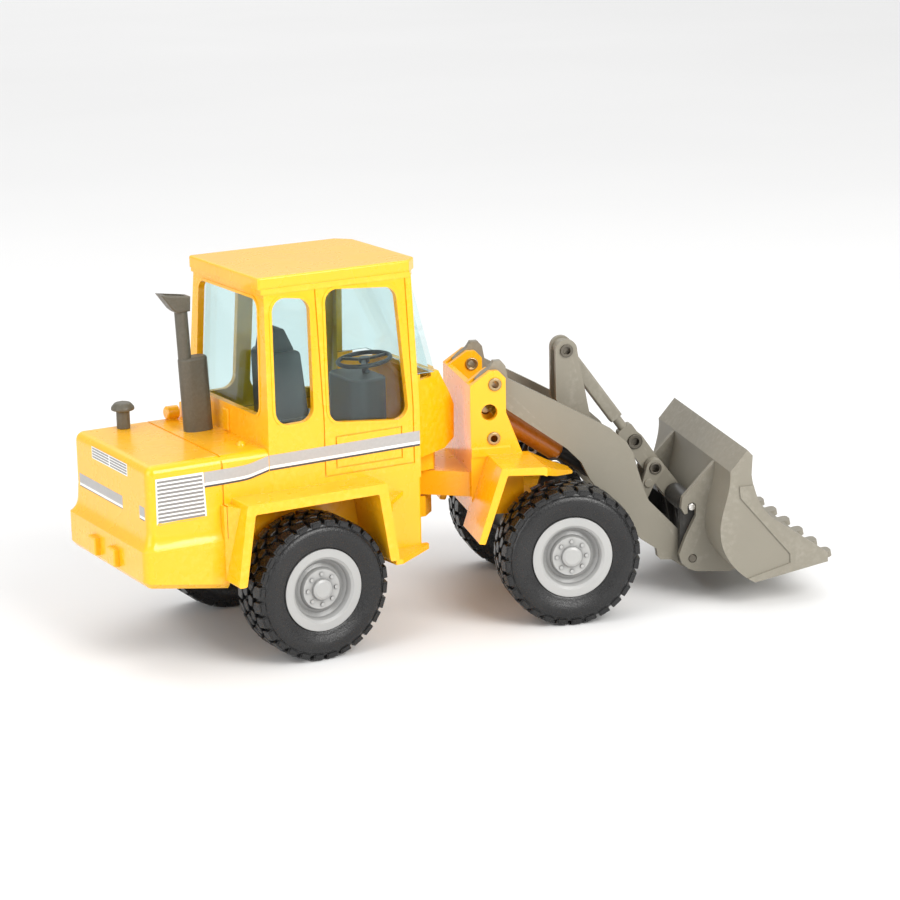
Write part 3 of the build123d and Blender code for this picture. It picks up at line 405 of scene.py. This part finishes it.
# ---------------------------------------------------------------- tyres
LUGS = 28
PITCH = 2 * math.pi / LUGS
TYRE_STEPS = 192
LUG_ROOT_R, SIDE_LUG_ROOT_R, SIDE_LUG_R = 13.2, 12.9, 13.66
SHOULDER = 4.2                                 # beyond this half width the tread falls away
RIM_BEAD_R = 9.0                               # the outer bead has its own curve inside this radius
# the carcass is (radius, depth inside the side face), a lug is (lug pitches, mm from the middle)
CARCASS = [(7.85, 1.0), (7.9, 0.80), (8.3, 0.78), (8.7, 0.72), (9.2, 0.56), (9.8, 0.33), (10.4, 0.13),
           (10.9, 0.03), (11.35, 0.0), (11.8, 0.05), (12.2, 0.16), (12.55, 0.33), (12.68, 0.52),
           (12.8, 0.50), (13.05, 0.60), (13.3, 0.86), (13.42, 1.25), (13.46, 1.8), (13.48, 3.2), (13.5, 5.2)]
OUTER_BEAD = [(8.35, 1.4), (8.37, 0.84), (8.5, 0.76), (8.9, 0.66)]
OUTER_LUG = [(-0.42, 2.45), (-0.04, 2.2), (0.34, 2.6), (0.44, 3.5), (0.42, 4.72), (-0.34, 4.72), (-0.36, 3.6)]
INNER_LUG = [(0.04, 0.15), (0.52, 0.3), (0.74, 1.1), (0.58, 2.15), (0.12, 1.95), (-0.08, 1.1)]
SIDE_LUG = [(-0.24, 4.5), (0.34, 4.5), (0.33, 4.86), (-0.23, 4.86)]


def tyre_profile():
    """(radius, y) round the tyre's section, inner bead to outer bead."""
    inner = [(r, TYRE_IN + d) for r, d in CARCASS]
    outer = [(r, TYRE_OUT - d) for r, d in reversed(CARCASS) if r > RIM_BEAD_R]
    closing = [(r, TYRE_OUT - d) for r, d in reversed(OUTER_BEAD)]
    return inner + outer[1:] + closing + [(7.85, TYRE_OUT - 1.45)]


def tyre_point(radius, angle, y):
    return Vector((radius * math.sin(angle), y, radius * math.cos(angle)))


def lug_ring(bm, outline, radius, shrink, taper):
    """The outline's points at one radius, drawn in towards their middle, lower beyond the shoulder."""
    a0 = sum(a for a, y in outline) / len(outline)
    y0 = sum(y for a, y in outline) / len(outline)
    ring = []
    for a, y in outline:
        drop = taper if abs(y - TYRE_MIDDLE) > SHOULDER else 0.0
        ring.append(bm.verts.new(tyre_point(radius - drop, PITCH * (a0 + (a - a0) * shrink),
                                            y0 + (y - y0) * shrink)))
    return ring


def add_lug(bm, lug, shift, side, low, high, chamfer, taper=0.0):
    """Raised tread block on one side of the middle. low and high are radii."""
    outline = [(shift + a, TYRE_MIDDLE + side * w) for a, w in lug]
    rings = [lug_ring(bm, outline, radius, shrink, taper)
             for radius, shrink in ((low, 1.0), (high - chamfer, 0.96), (high, 0.86))]
    for below, above in zip(rings, rings[1:]):
        for i in range(len(outline)):
            j = (i + 1) % len(outline)
            bm.faces.new((below[i], below[j], above[j], above[i]))
    bm.faces.new(rings[-1])


def tyre_mesh():
    """Carcass and tread of a left tyre in mm, round its own axle."""
    profile = tyre_profile()
    bm = bmesh.new()
    rings = []
    for k in range(TYRE_STEPS):
        angle = 2 * math.pi * k / TYRE_STEPS
        rings.append([bm.verts.new(tyre_point(r, angle, y)) for r, y in profile])
    for k in range(TYRE_STEPS):
        this, following = rings[k], rings[(k + 1) % TYRE_STEPS]
        for i in range(len(profile)):
            j = (i + 1) % len(profile)
            bm.faces.new((this[i], following[i], following[j], this[j]))
    for k in range(LUGS):
        for side in (1, -1):
            shift = k + (0.5 if side < 0 else 0.0)
            add_lug(bm, OUTER_LUG, shift, side, LUG_ROOT_R, TYRE_R, 0.14, 0.22)
            add_lug(bm, INNER_LUG, shift, side, LUG_ROOT_R, TYRE_R, 0.12)
            add_lug(bm, SIDE_LUG, shift, side, SIDE_LUG_ROOT_R, SIDE_LUG_R, 0.12)
    return mesh_from(bm, "tyre")


for axle, x, spot in (("rear", REAR_AXLE_X, rear), ("front", FRONT_AXLE_X, front)):
    for side, sign in (("left", 1), ("right", -1)):
        mesh = tyre_mesh()
        turn = Matrix.Rotation(STEER if axle == "front" else 0.0, 4, "Z")
        flip = Matrix.Scale(sign, 4, (0, 1, 0))
        phase = Matrix.Rotation(0.11 * sign + (0.05 if axle == "front" else 0.0), 4, "Y")
        mesh.transform(Matrix.Translation(spot(x, 0, AXLE_Z)) @ turn @ Matrix.Scale(MM, 4) @ flip @ phase)
        if sign < 0:
            mesh.flip_normals()
        shade(mesh, 30.0)
        tyre = new_object(f"{axle}_tyre_{side}_lugged", mesh, RUBBER, axle + "_wheels")
        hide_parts(f"{axle}_tyre_{side}")

# ---------------------------------------------------------------- printed stripes, grilles and vent
PRINT = 0.035
SLOT_PRINT = PRINT + 0.02                      # slots lie over their white border
GRILLE_TOP, GRILLE_BOTTOM = 39.4, 29.9
GRILLE_SLOTS, GRILLE_PITCH, GRILLE_SLOT = 12, 0.77, 0.44
VENT_SLOTS, VENT_PITCH, VENT_SLOT = 4, 0.55, 0.3


def print_sheet(name, points, place, normal, material, thick=PRINT, body="rear_frame"):
    """Thin printed patch from (u, v) outline points, set by place(u, v) and raised along normal."""
    bm = bmesh.new()
    low = [bm.verts.new(place(u, v)) for u, v in points]
    high = [bm.verts.new(place(u, v) + normal * thick * MM) for u, v in points]
    bm.faces.new(high)
    for i in range(len(points)):
        j = (i + 1) % len(points)
        bm.faces.new((low[i], low[j], high[j], high[i]))
    return new_object(name, mesh_from(bm, name), material, body)


def ribbon(name, path, width, place, normal, material, thick=PRINT):
    """Printed band of one width along (u, v) points, measured downwards from the path."""
    lower = [(u, v - width) for u, v in reversed(path)]
    return print_sheet(name, path + lower, place, normal, material, thick)


def smooth_path(points, steps=8):
    """Catmull-Rom points through the given ones."""
    ends = [points[0]] + points + [points[-1]]
    out = []
    for a, b, c, d in zip(ends, ends[1:], ends[2:], ends[3:]):
        for k in range(steps):
            t = k / steps
            out.append(tuple(0.5 * (2 * q + (r - p) * t + (2 * p - 5 * q + 4 * r - s) * t * t
                                    + (3 * q - p - 3 * r + s) * t ** 3) for p, q, r, s in zip(a, b, c, d)))
    return out + [points[-1]]


for side, sign in (("right", -1), ("left", 1)):
    out = Vector((0, sign, 0))

    def wall(u, v, sign=sign):
        return rear(u, sign * (BODY_SIDE + 0.01), v)

    grille = [(-60.6, GRILLE_TOP), (-50.7, GRILLE_TOP), (-50.3, GRILLE_BOTTOM), (-60.7, GRILLE_BOTTOM)]
    print_sheet(f"grille_border_{side}", grille, wall, out, INK_WHITE)
    for k in range(GRILLE_SLOTS):
        top = GRILLE_TOP - 0.45 - k * GRILLE_PITCH
        bottom = top - GRILLE_SLOT
        lean = (GRILLE_TOP - top) / 9.6
        low_u, high_u = -60.3 - 0.1 * lean, -51.0 + 0.4 * lean
        slot = [(low_u, top), (high_u, top), (high_u, bottom), (low_u, bottom)]
        print_sheet(f"grille_slot_{side}_{k + 1}", slot, wall, out, INK_SLOT, SLOT_PRINT)
    band = smooth_path([(-50.55, 39.35), (-45.0, 39.4), (-41.5, 39.55), (-38.9, 40.1), (-36.9, 40.6)])
    door = [(-36.75, 40.6), (-20.0, 40.75), (-3.7, 40.9)]
    for label, offset, width, material in (("grey", 0.0, 2.1, INK_GREY), ("white", 2.1, 0.55, INK_WHITE),
                                           ("dark", 2.65, 0.4, INK_DARK)):
        for part, path in (("hood", band), ("door", door)):
            shifted = [(u, v - offset) for u, v in path]
            ribbon(f"stripe_{label}_{part}_{side}", shifted, width, wall, out, material)



def back_wall(u, v):
    return rear(HOOD_REAR, u, v)


def back_print(name, left, right, top, bottom, material, thick=PRINT):
    """Printed rectangle on the hood's rear face, from y = left down to y = right."""
    outline = [(left, top), (right, top), (right, bottom), (left, bottom)]
    return print_sheet(name, outline, back_wall, Vector((-1, 0, 0)), material, thick)


back_print("vent_border", 8.6, -8.6, 40.6, 38.2, INK_WHITE)
for k in range(VENT_SLOTS):
    top = 40.4 - k * VENT_PITCH
    for label, left, right in (("left", 8.3, 0.25), ("right", -0.25, -8.3)):
        back_print(f"vent_slot_{label}_{k + 1}", left, right, top, top - VENT_SLOT, INK_SLOT, SLOT_PRINT)
for label, left, right in (("wide", 15.6, -5.6), ("corner", -13.6, -16.0)):
    back_print(f"rear_band_grey_{label}", left, right, 33.7, 31.8, INK_GREY)
    back_print(f"rear_band_white_{label}", left, right, 31.8, 31.25, INK_WHITE)
    back_print(f"rear_band_dark_{label}", left, right, 31.25, 30.85, INK_DARK)

# ---------------------------------------------------------------- floor, light and camera
SENSOR, LENS = 36.0, 109.82
CAMERA_AT = Vector((-271.11, -465.50, 170.14)) * MM
CAMERA_TARGET = Vector((-5.27, 11.33, 31.7)) * MM
ROLL = math.radians(-1.32)


def place_floor():
    """Pale paper under and far behind the model."""
    mesh = bpy.data.meshes.new("floor")
    bm = bmesh.new()
    bmesh.ops.create_grid(bm, x_segments=1, y_segments=1, size=6.0)
    bm.to_mesh(mesh)
    bm.free()
    floor = bpy.data.objects.new("floor", mesh)
    bpy.context.scene.collection.objects.link(floor)
    look = Look("floor_paper")
    shade_node = look.span(look.noise(3.0), 0.3, 0.7, 0.0, 1.0)
    look.set(Base_Color=look.mix(shade_node, (0.80, 0.80, 0.80), (0.83, 0.83, 0.83)), Roughness=0.9)
    mesh.materials.append(look.material)


def soft_light(name, place, target, size, power, colour=(1, 1, 1)):
    data = bpy.data.lights.new(name, "AREA")
    data.shape = "RECTANGLE"
    data.size, data.size_y = size
    data.energy = power
    data.color = colour
    lamp = bpy.data.objects.new(name, data)
    lamp.location = place
    lamp.rotation_euler = (Vector(target) - Vector(place)).to_track_quat("-Z", "Y").to_euler()
    bpy.context.scene.collection.objects.link(lamp)


place_floor()
world = bpy.data.worlds.new("studio")
world.use_nodes = True
world.node_tree.nodes["Background"].inputs["Color"].default_value = (1.0, 1.0, 1.0, 1.0)
world.node_tree.nodes["Background"].inputs["Strength"].default_value = 0.62
bpy.context.scene.world = world
soft_light("key", (0.12, -0.58, 0.42), (0, 0, 0.03), (0.42, 0.42), 4.6, (1.0, 0.99, 0.97))
soft_light("top", (-0.05, 0.05, 0.75), (0, 0, 0.03), (0.7, 0.7), 1.3)
soft_light("rear", (-0.62, -0.12, 0.26), (0, 0, 0.03), (0.45, 0.6), 2.0)
soft_light("backdrop", (0.55, 1.7, 1.6), (0.55, 1.5, 0), (2.4, 2.4), 20.0)
bpy.context.scene.view_settings.view_transform = "Standard"

camera_data = bpy.data.cameras.new("camera")
camera_data.sensor_width = SENSOR
camera_data.lens = LENS
camera_data.shift_x = 0.0307
camera_data.shift_y = -0.0004
camera_data.clip_start = 0.01
camera = bpy.data.objects.new("camera", camera_data)
bpy.context.scene.collection.objects.link(camera)
aim = (CAMERA_TARGET - CAMERA_AT).to_track_quat("-Z", "Y").to_matrix().to_4x4()
camera.matrix_world = Matrix.Translation(CAMERA_AT) @ aim @ Matrix.Rotation(ROLL, 4, "Z")
bpy.context.scene.camera = camera
